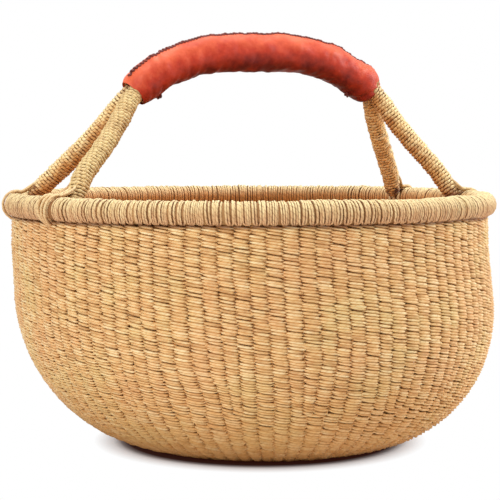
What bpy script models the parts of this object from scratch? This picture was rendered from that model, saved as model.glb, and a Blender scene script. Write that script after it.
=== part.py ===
"""Round twined straw basket with a two-hoop carrying handle and a leather grip.

Metres, +Z up. The origin is on the floor, under the middle of the rim. The handle's line runs along X.
"""

import math

import bmesh
import bpy
from mathutils import Matrix, Vector

# Driving dimensions, in metres
RIM_OUTER_RADIUS = 0.2035
BOWL_HEIGHT = 0.2078
RIM_ROLL_DIAMETER = 0.0195
RIM_WRAP_THICKNESS = 0.0022
RIM_LIP_DROP = 0.0093
BASE_RADIUS = 0.106
BELLY_BULGE = 0.00595
BELLY_HEIGHT = 0.120
ADDED_STAKE_HEIGHT = 0.067
BASE_SHIFT_X = 0.0117
BASE_SHIFT_Y = -0.0057
LEAN_HEIGHT = 0.165
STRAND_THICKNESS = 0.0022
STAKE_THICKNESS = 0.0030
RIB_DEPTH = 0.0009
HUB_RADIUS = 0.034
FIT_GAP = 0.0003
HANDLE_APEX_HEIGHT = 0.3235
GRIP_DROP = 0.0345
GRIP_HALF_LENGTH = 0.1126
GRIP_SHIFT_X = 0.0074
GRIP_SHIFT_Y = 0.0040
GRIP_RADIUS = 0.0162
LEATHER_THICKNESS = 0.0028
CORE_RADIUS = 0.0028
CORE_HALF_SPACING = 0.0063
LEG_RADIUS = 0.0079
LEG_STRAND_HEIGHT = 0.0042
LEG_TURN_GAP = 0.0014
FOOT_CLEARANCE = 0.0008
LOOP_STRAND_DIAMETER = 0.0022
LOOP_PITCH = 0.0027
LOOP_LIP_CLEARANCE = 0.0040
LACING_DIAMETER = 0.0020
LACING_HALF_WIDTH = 0.0026
KNOT_RADIUS = 0.0030

# Shares of the sizes that they follow
HANDLE_TILT_SHARE = 0.02
LEG_RUN_SHARES = (0.25, 0.50, 0.75)
LEG_HEIGHT_SHARES = (0.70, 0.44, 0.20)
LEATHER_SWELL_SHARES = ((0.0, 1.0), (0.70, 0.96), (0.88, 0.97), (1.0, 0.90))
BINDING_LENGTH_SHARE = 0.97
WINDING_TOP_SHARE = 0.05
LACING_LENGTH_SHARE = 0.90
KNOT_PLACE_SHARE = 0.86
STRAND_FOOT_SHARE = 0.76
STRAND_SHOULDER_SHARE = 0.40
SLOPE_SHARE = 0.01
HUB_THICKNESS_SHARE = 1.1

# Counts
BASE_STAKES = 52
FACETS = BASE_STAKES
WALL_STAKES = 2 * BASE_STAKES
BASE_RINGS = 3
WALL_RINGS = 2
ROLL_SIDES = 8
BUNDLE_SIDES = 5
ROD_SIDES = 6
ROD_RINGS = 24
SPAN_POINTS = 8
GRIP_SIDES = 12
GRIP_RINGS = 11
LEG_TURNS = 14
LEG_TURN_POINTS = 8
LOOP_TURNS = 3
LOOP_TURN_POINTS = 12
LOOP_SIDES = 5
LACING_STITCHES = 14
LACING_SIDES = 4

ROLL_START = math.radians(-25)

# The gap between two wall stakes in which each foot is tied, counted from +X
FOOT_STAKES = {
    "front_left": 55.5,
    "back_left": 46.5,
    "front_right": -3.5,
    "back_right": 5.5,
}
# Where each foot meets its loops on the rim's roll, turned inwards from the outside
FOOT_SEATS = {
    "front_left": math.radians(140),
    "back_left": math.radians(145),
    "front_right": math.radians(130),
    "back_right": math.radians(130),
}

RIM_ROLL_RADIUS = RIM_ROLL_DIAMETER / 2
RIM_CENTRE_HEIGHT = BOWL_HEIGHT - RIM_ROLL_RADIUS
RIM_RING_RADIUS = RIM_OUTER_RADIUS - RIM_ROLL_RADIUS
BELLY_RADIUS = RIM_RING_RADIUS + BELLY_BULGE
STAKE_DEPTH = STRAND_THICKNESS + FIT_GAP
INNER_DEPTH = STAKE_DEPTH + STAKE_THICKNESS + FIT_GAP
WALL_THICKNESS = INNER_DEPTH + STRAND_THICKNESS
WALL_TOP_RADIUS = RIM_RING_RADIUS + WALL_THICKNESS / 2
FACET_FLAT = math.cos(math.pi / FACETS)
BUNDLE_RADIUS = RIM_ROLL_RADIUS - RIM_WRAP_THICKNESS - 2 * FIT_GAP
WALL_TOP = RIM_CENTRE_HEIGHT - BUNDLE_RADIUS - 2 * FIT_GAP
LEATHER_BORE = GRIP_RADIUS - LEATHER_THICKNESS
BINDING_RADIUS = LEATHER_BORE - FIT_GAP
BINDING_BORE = CORE_HALF_SPACING + CORE_RADIUS + 2 * FIT_GAP
LOOP_RADIUS = LOOP_STRAND_DIAMETER / 2
LOOP_REACH = (RIM_ROLL_RADIUS + LOOP_RADIUS + FIT_GAP) / math.cos(math.pi / LOOP_TURN_POINTS)
LOOP_DROP = RIM_LIP_DROP + LOOP_LIP_CLEARANCE


def clear_scene():
    for item in list(bpy.data.objects):
        bpy.data.objects.remove(item)


def material(name, colour, roughness, metallic=0.0):
    made = bpy.data.materials.new(name)
    made.use_nodes = True
    shader = made.node_tree.nodes["Principled BSDF"]
    shader.inputs["Base Color"].default_value = (*colour, 1.0)
    shader.inputs["Roughness"].default_value = roughness
    shader.inputs["Metallic"].default_value = metallic
    return made


def add_object(name, mesh_data, look):
    item = bpy.data.objects.new(name, mesh_data)
    bpy.context.scene.collection.objects.link(item)
    mesh_data.materials.append(look)
    return item


def finish_mesh(name, shape, look, smooth_angle=40):
    """Turns a bmesh into a named object with outward faces, shaded smooth but for its sharp edges."""
    bmesh.ops.recalc_face_normals(shape, faces=shape.faces)
    data = bpy.data.meshes.new(name)
    shape.to_mesh(data)
    shape.free()
    data.shade_smooth()
    data.set_sharp_from_angle(angle=math.radians(smooth_angle))
    return add_object(name, data, look)


def circle(radius, sides, start=0.0):
    """Corners of a round section, as pairs of distances from its middle."""
    turns = [start + math.tau * i / sides for i in range(sides)]
    return [(radius * math.cos(turn), radius * math.sin(turn)) for turn in turns]


def boolean(item, other, operation):
    step = item.modifiers.new(operation.lower(), "BOOLEAN")
    step.operation = operation
    step.object = other
    other.hide_render = True
    other.display_type = "WIRE"


# The bowl


def arc_angle(height):
    """The angle on the bowl's arc at which its outer face reaches this height."""
    return math.acos(1 - height / BELLY_HEIGHT)


def bowl_point(angle, depth):
    """(radius, height) of a point this deep inside the outer face, on the arc from base to belly."""
    reach = BELLY_RADIUS - BASE_RADIUS
    normal = Vector((BELLY_HEIGHT * math.sin(angle), -reach * math.cos(angle))).normalized()
    surface = Vector((BASE_RADIUS + reach * math.sin(angle), BELLY_HEIGHT * (1 - math.cos(angle))))
    return surface - depth * normal


def arc_step(angle, length):
    """How far to turn on the arc to move this length along it."""
    reach = BELLY_RADIUS - BASE_RADIUS
    return length / math.hypot(reach * math.cos(angle), BELLY_HEIGHT * math.sin(angle))


def base_arc(depth, short=0.0):
    """Rings from the edge of the flat base up to the line where stakes are added."""
    last = arc_angle(ADDED_STAKE_HEIGHT)
    last -= arc_step(last, short)
    return [bowl_point(last * i / BASE_RINGS, depth) for i in range(BASE_RINGS + 1)]


def wall_arc(depth, top=WALL_TOP):
    """Rings from the line where stakes are added up to the belly, then straight to the rim."""
    first = arc_angle(ADDED_STAKE_HEIGHT)
    span = math.pi / 2 - first
    rings = [bowl_point(first + span * i / WALL_RINGS, depth) for i in range(WALL_RINGS + 1)]
    belly, rim = rings[-1], Vector((WALL_TOP_RADIUS - depth, WALL_TOP))
    return rings + [belly.lerp(rim, (top - belly.y) / (rim.y - belly.y))]


def bowl_place(radius, angle, height):
    """A point of the bowl, whose rings lean sideways towards the base."""
    lean = max(0.0, 1 - height / LEAN_HEIGHT)
    return Vector(
        (
            radius * math.cos(angle) + BASE_SHIFT_X * lean,
            radius * math.sin(angle) + BASE_SHIFT_Y * lean,
            height,
        )
    )


def ring_of_points(shape, ring, columns, rib_depth=0.0):
    """Every second column is a valley between two stakes, rib_depth into the weave."""
    points = []
    for column in range(columns):
        radius = ring.x - rib_depth * (column % 2)
        points.append(shape.verts.new(bowl_place(radius, math.tau * column / columns, ring.y)))
    return points


def join_rings(shape, lower, upper):
    count = len(lower)
    for i in range(count):
        j = (i + 1) % count
        shape.faces.new((lower[i], lower[j], upper[j], upper[i]))


def join_edges(shape, many, few):
    """Closes the edge of a skin, from a ring of many points to one of fewer."""
    share = len(many) // len(few)
    for i in range(len(few)):
        run = [many[(i * share + k) % len(many)] for k in range(share + 1)]
        shape.faces.new(run + [few[(i + 1) % len(few)], few[i]])


def add_skin(name, ribbed_rings, plain_rings, columns, rib_depth, closed_base, look):
    """A layer of weave with ribs on the face that shows. With closed_base it goes across the flat base."""
    shape = bmesh.new()
    ribbed = []
    for index, ring in enumerate(ribbed_rings):
        flat_edge = closed_base and index == 0
        ribbed.append(ring_of_points(shape, ring, columns, 0.0 if flat_edge else rib_depth))
    plain = [ring_of_points(shape, ring, FACETS) for ring in plain_rings]
    for lower, upper in zip(ribbed, ribbed[1:]):
        join_rings(shape, lower, upper)
    for lower, upper in zip(plain, plain[1:]):
        join_rings(shape, lower, upper)
    join_edges(shape, ribbed[-1], plain[-1])
    if closed_base:
        shape.faces.new(ribbed[0])
        shape.faces.new(plain[0])
    else:
        join_edges(shape, ribbed[0], plain[0])
    return finish_mesh(name, shape, look)


def stake_angle(number):
    """The direction of a wall stake. The even ones start at the base, the odd ones are added between them."""
    return math.tau * number / WALL_STAKES


def stake_rings(number, path):
    """Three-sided rings of one stake along a path of (radius, height) at its middle."""
    angle = stake_angle(number)
    flat = FACET_FLAT if number % 2 else 1.0
    across = Vector((-math.sin(angle), math.cos(angle), 0))
    rings = []
    for index, point in enumerate(path):
        before = path[max(index - 1, 0)]
        after = path[min(index + 1, len(path) - 1)]
        along = (after - before).normalized()
        outward = Vector((along.y, -along.x)) * (STAKE_THICKNESS / 2)
        outer = bowl_place((point + outward).x * flat, angle, (point + outward).y)
        inner = bowl_place((point - outward).x * flat, angle, (point - outward).y)
        side = across * (STAKE_THICKNESS / 2)
        rings.append((outer + side, outer - side, inner))
    return rings


def add_rod(shape, rings):
    """A rod through rings of points, closed at both ends."""
    loops = [[shape.verts.new(point) for point in ring] for ring in rings]
    for lower, upper in zip(loops, loops[1:]):
        join_rings(shape, lower, upper)
    shape.faces.new(loops[0])
    shape.faces.new(loops[-1])


def add_base_stakes(look):
    """Straws that cross at the start and run out, up the wall and to the rim bundle."""
    middle = STAKE_DEPTH + STAKE_THICKNESS / 2
    top = WALL_TOP + FIT_GAP
    path = [Vector((HUB_RADIUS - STAKE_THICKNESS, middle))]
    path += base_arc(middle) + wall_arc(middle, top)[1:]
    shape = bmesh.new()
    for stake in range(BASE_STAKES):
        add_rod(shape, stake_rings(2 * stake, path))
    stakes = finish_mesh("base_stakes", shape, look)
    hub = bmesh.new()
    bmesh.ops.create_cone(
        hub,
        cap_ends=True,
        segments=FACETS,
        radius1=HUB_RADIUS,
        radius2=HUB_RADIUS,
        depth=STAKE_THICKNESS * HUB_THICKNESS_SHARE,
        matrix=Matrix.Translation(bowl_place(0, 0, middle)) @ Matrix.Rotation(math.pi / FACETS, 4, "Z"),
    )
    start = finish_mesh("start_disc", hub, look)
    boolean(stakes, start, "UNION")
    return stakes


def add_rim_bundle(look):
    """The added stakes, up to the rim, and the bundle that they are bent over into."""
    middle = STAKE_DEPTH + STAKE_THICKNESS / 2
    inside_bundle = RIM_CENTRE_HEIGHT - BUNDLE_RADIUS / 2
    path = wall_arc(middle, inside_bundle)
    shape = bmesh.new()
    for stake in range(BASE_STAKES):
        add_rod(shape, stake_rings(2 * stake + 1, path))
    bundle = finish_mesh("rim_bundle", shape, look)
    ring = bmesh.new()
    turn_profile(ring, circle(BUNDLE_RADIUS, BUNDLE_SIDES, -math.pi / 2))
    roll = finish_mesh("bundle_roll", ring, look)
    boolean(bundle, roll, "UNION")
    return bundle


def turn_profile(shape, profile):
    """Turns a closed profile, given from the rim's centre line, round the basket."""
    loops = []
    for column in range(FACETS):
        angle = math.tau * column / FACETS
        loops.append(
            [
                shape.verts.new(
                    (
                        (RIM_RING_RADIUS + outward) * math.cos(angle),
                        (RIM_RING_RADIUS + outward) * math.sin(angle),
                        RIM_CENTRE_HEIGHT + up,
                    )
                )
                for outward, up in profile
            ]
        )
    for column in range(FACETS):
        join_rings(shape, loops[column], loops[(column + 1) % FACETS])


def add_rim_wrap(look):
    """The straw wound round the bundle, open below, where it clasps the top of the wall on both sides."""
    outer_lip = (WALL_TOP_RADIUS + 2 * FIT_GAP) / FACET_FLAT - RIM_RING_RADIUS
    inner_lip = WALL_THICKNESS / 2 + 2 * FIT_GAP
    lip = RIM_WRAP_THICKNESS / 2
    bore = BUNDLE_RADIUS + 2 * FIT_GAP
    profile = [(outer_lip, -RIM_LIP_DROP), (outer_lip + lip, -RIM_LIP_DROP)]
    for i in range(ROLL_SIDES - 1):
        turn = ROLL_START + (math.pi - 2 * ROLL_START) * i / (ROLL_SIDES - 2)
        profile.append((RIM_ROLL_RADIUS * math.cos(turn), RIM_ROLL_RADIUS * math.sin(turn)))
    profile += [(-inner_lip - lip, -RIM_LIP_DROP), (-inner_lip, -RIM_LIP_DROP)]
    profile += circle(bore, BUNDLE_SIDES, -math.pi / 2)[:0:-1]
    shape = bmesh.new()
    turn_profile(shape, profile)
    return finish_mesh("rim_wrap", shape, look)


# The handle


def smooth_path(points):
    """Catmull-Rom curve through these points."""
    ends = [2 * points[0] - points[1]] + points + [2 * points[-1] - points[-2]]
    curve = []
    for a, b, c, d in zip(ends, ends[1:], ends[2:], ends[3:]):
        for step in range(SPAN_POINTS):
            t = step / SPAN_POINTS
            curve.append(
                0.5
                * (2 * b + (c - a) * t + (2 * a - 5 * b + 4 * c - d) * t**2 + (3 * b - a - 3 * c + d) * t**3)
            )
    return curve + [points[-1]]


def lengths_along(curve):
    total = [0.0]
    for a, b in zip(curve, curve[1:]):
        total.append(total[-1] + (b - a).length)
    return total


def point_at(curve, lengths, length):
    """The point this far along the curve."""
    index = 0
    while index < len(curve) - 2 and lengths[index + 1] < length:
        index += 1
    share = (length - lengths[index]) / (lengths[index + 1] - lengths[index])
    return curve[index].lerp(curve[index + 1], share)


def evenly_spaced(curve, count, first=0.0, last=1.0):
    """Points at even steps between two shares of the curve's length."""
    lengths = lengths_along(curve)
    shares = [first + (last - first) * i / (count - 1) for i in range(count)]
    return [point_at(curve, lengths, lengths[-1] * share) for share in shares]


def frames_along(points):
    """(tangent, side, up) at each point, turned as little as possible from one to the next."""
    tangents = []
    for index in range(len(points)):
        before = points[max(index - 1, 0)]
        after = points[min(index + 1, len(points) - 1)]
        tangents.append((after - before).normalized())
    side = tangents[0].cross(Vector((0, 0, 1))).normalized()
    frames = []
    for tangent in tangents:
        side = (side - tangent * side.dot(tangent)).normalized()
        frames.append((tangent, side, tangent.cross(side)))
    return frames


def grip_point(share, offset_y=0.0):
    """A point on the grip's centre line, share running from -1 at the left end to 1 at the right."""
    run = share * GRIP_HALF_LENGTH
    height = HANDLE_APEX_HEIGHT - GRIP_DROP * abs(share) ** 3 + HANDLE_TILT_SHARE * run
    return Vector((GRIP_SHIFT_X + run, GRIP_SHIFT_Y + offset_y, height))


def grip_slope(share):
    """The direction of the grip's centre line, from left to right."""
    return (grip_point(share + SLOPE_SHARE) - grip_point(share - SLOPE_SHARE)).normalized()


def foot_angle(foot):
    return stake_angle(FOOT_STAKES[foot])


def foot_point(foot):
    angle = foot_angle(foot)
    reach = LOOP_REACH + LOOP_RADIUS + FOOT_CLEARANCE
    radius = RIM_RING_RADIUS + reach * math.cos(FOOT_SEATS[foot])
    height = RIM_CENTRE_HEIGHT + reach * math.sin(FOOT_SEATS[foot])
    return Vector((radius * math.cos(angle), radius * math.sin(angle), height))


def leg_points(foot, offset_y):
    """From the foot up to just short of the grip's end."""
    end = grip_point(-1 if "left" in foot else 1, offset_y)
    low = foot_point(foot)
    points = [low]
    for run, height in zip(reversed(LEG_RUN_SHARES), reversed(LEG_HEIGHT_SHARES)):
        point = end.lerp(low, run)
        point.z = low.z + (end.z - low.z) * height
        points.append(point)
    return points


def hoop_curve(side):
    """The centre line of one hoop, from its left foot through the grip to its right foot."""
    offset = CORE_HALF_SPACING * (-1 if side == "front" else 1)
    left = leg_points(side + "_left", offset)
    right = leg_points(side + "_right", offset)
    shares = (-1, -0.8, -0.55, -0.3, 0, 0.3, 0.55, 0.8, 1)
    return smooth_path(left + [grip_point(share, offset) for share in shares] + right[::-1])


def leg_curve(foot):
    """The part of the hoop's centre line between a foot and the grip, from the foot upwards."""
    side, end = foot.split("_")
    curve = hoop_curve(side)
    if end == "right":
        curve = curve[::-1]
    return curve[: SPAN_POINTS * (len(LEG_RUN_SHARES) + 1) + 1]


def sweep(points, frames, sections):
    """Rings of points, each section being (side, up) pairs laid out in its own frame."""
    rings = []
    for point, (_, side, up), section in zip(points, frames, sections):
        rings.append([point + side * a + up * b for a, b in section])
    return rings


def add_solid_rod(name, points, section, look):
    shape = bmesh.new()
    add_rod(shape, sweep(points, frames_along(points), [section] * len(points)))
    return finish_mesh(name, shape, look)


def add_handle_core(side, look):
    points = evenly_spaced(hoop_curve(side), ROD_RINGS)
    return add_solid_rod("handle_core_" + side, points, circle(CORE_RADIUS, ROD_SIDES), look)


def least_self_gap(rings, apart):
    """The least distance between points of one strand that lie at least this many rings apart."""
    least = math.inf
    for index, ring in enumerate(rings):
        for other in rings[index + apart : index + apart + 3]:
            least = min(least, min((a - b).length for a in ring for b in other))
    return least


def winding_section(width, height):
    """A strand pressed flat against its core: two corners below, three above, as (outward, along)."""
    foot = width / 2 * STRAND_FOOT_SHARE
    shoulder = height / 2 * STRAND_SHOULDER_SHARE
    return (
        (-height / 2, -foot),
        (shoulder, -width / 2),
        (height / 2, 0),
        (shoulder, width / 2),
        (-height / 2, foot),
    )


def add_leg_winding(foot, look):
    """One strand wound up a leg from its foot, turn against turn."""
    curve = leg_curve(foot)
    length = lengths_along(curve)[-1]
    pitch = (length * (1 - WINDING_TOP_SHARE) + LEG_TURN_GAP) / (LEG_TURNS + 1)
    width = pitch - LEG_TURN_GAP
    half = width / 2 / length
    count = LEG_TURNS * LEG_TURN_POINTS + 1
    axis = evenly_spaced(curve, count, half, 1 - WINDING_TOP_SHARE - half)
    frames = frames_along(axis)
    radius = LEG_RADIUS - LEG_STRAND_HEIGHT / 2
    section = winding_section(width, LEG_STRAND_HEIGHT)
    rings = []
    for index, (centre, (tangent, side, up)) in enumerate(zip(axis, frames)):
        turn = math.tau * index / LEG_TURN_POINTS
        outward = side * math.cos(turn) + up * math.sin(turn)
        middle = centre + outward * radius
        rings.append([middle + outward * a + tangent * b for a, b in section])
    shape = bmesh.new()
    add_rod(shape, rings)
    gap = least_self_gap(rings, LEG_TURN_POINTS - 1)
    print(f"leg_winding_{foot}: least gap to itself {gap:.5f} m")
    return finish_mesh("leg_winding_" + foot, shape, look)


def add_foot_loop(foot, look):
    """A strand taken three times round the rim and through the weave under it."""
    angle = foot_angle(foot)
    outward = Vector((math.cos(angle), math.sin(angle), 0))
    across = Vector((-math.sin(angle), math.cos(angle), 0))
    upward = Vector((0, 0, 1))
    centre = outward * RIM_RING_RADIUS + upward * RIM_CENTRE_HEIGHT
    points = []
    count = LOOP_TURNS * LOOP_TURN_POINTS + 1
    for index in range(count):
        turn = math.pi / 2 - math.tau * index / LOOP_TURN_POINTS
        drift = LOOP_PITCH * (index / LOOP_TURN_POINTS - LOOP_TURNS / 2)
        rise = (LOOP_REACH if math.sin(turn) > 0 else LOOP_DROP) * math.sin(turn)
        points.append(centre + outward * (LOOP_REACH * math.cos(turn)) + upward * rise + across * drift)
    frames = []
    for point, (tangent, _, _) in zip(points, frames_along(points)):
        side = (across - tangent * across.dot(tangent)).normalized()
        frames.append((tangent, side, tangent.cross(side)))
    rings = sweep(points, frames, [circle(LOOP_RADIUS, LOOP_SIDES)] * count)
    shape = bmesh.new()
    add_rod(shape, rings)
    gap = least_self_gap(rings, LOOP_TURN_POINTS - 1)
    print(f"foot_loop_{foot}: least gap to itself {gap:.5f} m")
    return finish_mesh("foot_loop_" + foot, shape, look)


def add_window_cutter(foot):
    """The gap in the weave under the rim that a foot loop goes through."""
    angle = foot_angle(foot)
    width = LOOP_PITCH * (LOOP_TURNS - 1) + LOOP_STRAND_DIAMETER + 2 * FIT_GAP
    height = LOOP_STRAND_DIAMETER + 5 * FIT_GAP
    centre = Vector(
        (
            RIM_RING_RADIUS * math.cos(angle),
            RIM_RING_RADIUS * math.sin(angle),
            RIM_CENTRE_HEIGHT - LOOP_DROP + 2 * FIT_GAP,
        )
    )
    shape = bmesh.new()
    bmesh.ops.create_cube(shape, size=1.0)
    size = Matrix.Diagonal((3 * WALL_THICKNESS, width, height, 1))
    bmesh.ops.transform(
        shape, matrix=Matrix.Translation(centre) @ Matrix.Rotation(angle, 4, "Z") @ size, verts=shape.verts
    )
    data = bpy.data.meshes.new("window_" + foot)
    shape.to_mesh(data)
    shape.free()
    cutter = bpy.data.objects.new("window_" + foot, data)
    bpy.context.scene.collection.objects.link(cutter)
    return cutter


def sleeve(name, shares, bore, outer_at, look):
    """A tube along the grip's centre line, open at both ends."""
    points = [grip_point(share) for share in shares]
    frames = frames_along(points)
    inner = sweep(points, frames, [circle(bore, GRIP_SIDES)] * len(points))
    outer = sweep(points, frames, [circle(outer_at(share), GRIP_SIDES) for share in shares])
    shape = bmesh.new()
    inner = [[shape.verts.new(point) for point in ring] for ring in inner]
    outer = [[shape.verts.new(point) for point in ring] for ring in outer]
    for rings in (inner, outer):
        for lower, upper in zip(rings, rings[1:]):
            join_rings(shape, lower, upper)
    join_rings(shape, inner[0], outer[0])
    join_rings(shape, inner[-1], outer[-1])
    return finish_mesh(name, shape, look)


def swell(share):
    """The leather's outer radius, fuller towards its ends and drawn in at them."""
    place = abs(share)
    for (a, first), (b, last) in zip(LEATHER_SWELL_SHARES, LEATHER_SWELL_SHARES[1:]):
        if place <= b:
            return GRIP_RADIUS * (first + (last - first) * (place - a) / (b - a))
    return GRIP_RADIUS * LEATHER_SWELL_SHARES[-1][1]


def grip_shares(limit):
    """Places along the grip, closer together where it bends down at its ends."""
    return [limit * math.sin(math.pi / 2 * (2 * i / GRIP_RINGS - 1)) for i in range(GRIP_RINGS + 1)]


def add_leather_grip(look):
    bore = (BINDING_RADIUS + FIT_GAP) / math.cos(math.pi / GRIP_SIDES)
    return sleeve("leather_grip", grip_shares(1.0), bore, swell, look)


def add_grip_binding(look):
    bore = BINDING_BORE / math.cos(math.pi / GRIP_SIDES)
    return sleeve("grip_binding", grip_shares(BINDING_LENGTH_SHARE), bore, lambda share: BINDING_RADIUS, look)


def add_lacing(look):
    """The cord that closes the leather along the top of the grip, stitched from side to side."""
    count = 2 * LACING_STITCHES + 1
    points = []
    for index in range(count):
        share = LACING_LENGTH_SHARE * (2 * index / (count - 1) - 1)
        side = Vector((0, 1, 0))
        up = grip_slope(share).cross(side)
        lift = swell(share) + LACING_DIAMETER / 2 + 2 * FIT_GAP
        sideways = LACING_HALF_WIDTH * (-1 if index % 2 else 1)
        points.append(grip_point(share) + up * lift + side * sideways)
    return add_solid_rod("grip_lacing", points, circle(LACING_DIAMETER / 2, LACING_SIDES), look)


def add_lacing_knot(end, look):
    """The knot that ends the lacing, under the grip."""
    share = KNOT_PLACE_SHARE * (-1 if end == "left" else 1)
    down = Vector((0, 1, 0)).cross(grip_slope(share))
    shape = bmesh.new()
    place = Matrix.Translation(grip_point(share) + down * (swell(share) + KNOT_RADIUS + FIT_GAP))
    bmesh.ops.create_icosphere(shape, subdivisions=2, radius=KNOT_RADIUS, matrix=place)
    return finish_mesh("lacing_knot_" + end, shape, look)


def main():
    clear_scene()
    straw = material("straw", (0.62, 0.40, 0.17), 0.75)
    pale_straw = material("pale_straw", (0.72, 0.50, 0.24), 0.7)
    stake_straw = material("stake_straw", (0.50, 0.33, 0.15), 0.8)
    leather = material("red_leather", (0.50, 0.07, 0.03), 0.45)
    lacing = material("dark_lacing", (0.16, 0.03, 0.02), 0.5)

    add_skin(
        "base_weave_outer",
        base_arc(0.0, FIT_GAP),
        base_arc(STRAND_THICKNESS, FIT_GAP),
        2 * BASE_STAKES,
        RIB_DEPTH,
        True,
        straw,
    )
    wall = add_skin(
        "wall_weave_outer",
        wall_arc(0.0),
        wall_arc(STRAND_THICKNESS),
        2 * WALL_STAKES,
        RIB_DEPTH,
        False,
        straw,
    )
    inner = add_skin(
        "weave_inner",
        base_arc(WALL_THICKNESS) + wall_arc(WALL_THICKNESS)[1:],
        base_arc(INNER_DEPTH) + wall_arc(INNER_DEPTH)[1:],
        2 * BASE_STAKES,
        -RIB_DEPTH,
        True,
        straw,
    )
    add_base_stakes(stake_straw)
    add_rim_bundle(stake_straw)
    add_rim_wrap(pale_straw)
    for foot in FOOT_STAKES:
        window = add_window_cutter(foot)
        boolean(wall, window, "DIFFERENCE")
        boolean(inner, window, "DIFFERENCE")
        add_foot_loop(foot, pale_straw)
        add_leg_winding(foot, pale_straw)
    for side in ("front", "back"):
        add_handle_core(side, stake_straw)
    add_grip_binding(pale_straw)
    add_leather_grip(leather)
    add_lacing(lacing)
    for end in ("left", "right"):
        add_lacing_knot(end, lacing)


main()
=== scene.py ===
import math

import bpy
import numpy as np
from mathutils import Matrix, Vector, noise


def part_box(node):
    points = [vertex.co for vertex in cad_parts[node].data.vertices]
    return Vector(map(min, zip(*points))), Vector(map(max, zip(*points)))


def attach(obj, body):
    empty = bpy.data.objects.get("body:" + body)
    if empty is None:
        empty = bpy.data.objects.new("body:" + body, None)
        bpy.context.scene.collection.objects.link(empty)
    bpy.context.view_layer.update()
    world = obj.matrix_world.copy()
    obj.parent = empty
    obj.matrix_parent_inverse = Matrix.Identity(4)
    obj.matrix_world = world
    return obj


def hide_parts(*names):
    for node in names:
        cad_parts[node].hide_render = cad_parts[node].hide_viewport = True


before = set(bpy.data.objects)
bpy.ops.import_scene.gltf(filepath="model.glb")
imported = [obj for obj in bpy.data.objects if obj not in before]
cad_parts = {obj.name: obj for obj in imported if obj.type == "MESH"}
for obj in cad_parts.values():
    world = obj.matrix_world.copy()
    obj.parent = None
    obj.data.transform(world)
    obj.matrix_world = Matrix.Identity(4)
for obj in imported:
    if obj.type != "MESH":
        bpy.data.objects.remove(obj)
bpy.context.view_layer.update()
bpy.ops.object.select_all(action="DESELECT")
print("frame loaded with", len(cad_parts), "solids")


# Shader maths written as arithmetic: a Wire is one output socket


class Wire:
    def __init__(self, paint, socket):
        self.paint = paint
        self.socket = socket

    def maths(self, operation, first, second):
        return self.paint.node("ShaderNodeMath", {"operation": operation}, {0: first, 1: second})

    def __add__(self, other):
        return self.maths("ADD", self, other)

    def __radd__(self, other):
        return self.maths("ADD", other, self)

    def __sub__(self, other):
        return self.maths("SUBTRACT", self, other)

    def __rsub__(self, other):
        return self.maths("SUBTRACT", other, self)

    def __mul__(self, other):
        return self.maths("MULTIPLY", self, other)

    def __rmul__(self, other):
        return self.maths("MULTIPLY", other, self)

    def __truediv__(self, other):
        return self.maths("DIVIDE", self, other)

    def __pow__(self, other):
        return self.maths("POWER", self, other)


class Paint:
    def __init__(self, name, roughness):
        self.material = bpy.data.materials.new(name)
        self.material.use_nodes = True
        self.tree = self.material.node_tree
        self.shader = self.tree.nodes["Principled BSDF"]
        self.shader.inputs["Roughness"].default_value = roughness

    def node(self, kind, settings, values, output=0):
        made = self.tree.nodes.new(kind)
        for name, value in settings.items():
            if name == "stops":
                self.setStops(made.color_ramp, value)
            else:
                setattr(made, name, value)
        for name, value in values.items():
            self.plug(made.inputs[name], value)
        return Wire(self, made.outputs[output])

    def setStops(self, ramp, stops):
        while len(ramp.elements) < len(stops):
            ramp.elements.new(1.0)
        for element, (place, colour) in zip(ramp.elements, stops):
            element.position = place
            element.color = (*colour, 1.0) if len(colour) == 3 else colour

    def plug(self, socket, value):
        if isinstance(value, Wire):
            self.tree.links.new(value.socket, socket)
        elif isinstance(value, tuple) and len(value) == 3 and socket.type == "RGBA":
            socket.default_value = (*value, 1.0)
        else:
            socket.default_value = value

    def parts(self, vector):
        kind = "ShaderNodeSeparateXYZ"
        split = self.node(kind, {}, {0: vector})
        return [Wire(self, output) for output in split.socket.node.outputs]

    def vector(self, x, y, z):
        return self.node("ShaderNodeCombineXYZ", {}, {0: x, 1: y, 2: z})

    def place(self, output="Object"):
        return self.node("ShaderNodeTexCoord", {}, {}, output)

    def blotches(self, vector, scale, detail=2.0, roughness=0.5, kind="FBM"):
        values = {"Vector": vector, "Scale": scale, "Detail": detail, "Roughness": roughness}
        return self.node("ShaderNodeTexNoise", {"noise_type": kind, "normalize": True}, values)

    def ramp(self, factor, stops, interpolation="LINEAR"):
        made = self.node("ShaderNodeValToRGB", {"stops": stops}, {0: factor})
        made.socket.node.color_ramp.interpolation = interpolation
        return made

    def span(self, factor, low, high, first=0.0, last=1.0):
        values = {"Value": factor, "From Min": low, "From Max": high, "To Min": first, "To Max": last}
        return self.node("ShaderNodeMapRange", {"clamp": True}, values)

    def sine(self, value):
        return self.node("ShaderNodeMath", {"operation": "SINE"}, {0: value})

    def mix(self, factor, first, last, blend="MIX"):
        settings = {"data_type": "RGBA", "blend_type": blend, "clamp_factor": True}
        return self.node("ShaderNodeMix", settings, {0: factor, 6: first, 7: last}, 2)

    def bump(self, height, strength, distance):
        values = {"Height": height, "Strength": strength, "Distance": distance}
        self.plug(self.shader.inputs["Normal"], self.node("ShaderNodeBump", {}, values))

    def colour(self, value):
        self.plug(self.shader.inputs["Base Color"], value)

    def roughness(self, value):
        self.plug(self.shader.inputs["Roughness"], value)


# The camera stands where the photographer stood: low, in front and a little to the left

camera = {
    "azimuth": -26.0,  # degrees round from straight ahead
    "distance": 1.283,
    "height": 0.2497,
    "pitch": 4.05,  # degrees down
    "focalPixels": 1530.0,
    "imagePixels": 500.0,
    "sensor": 36.0,
}


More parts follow.
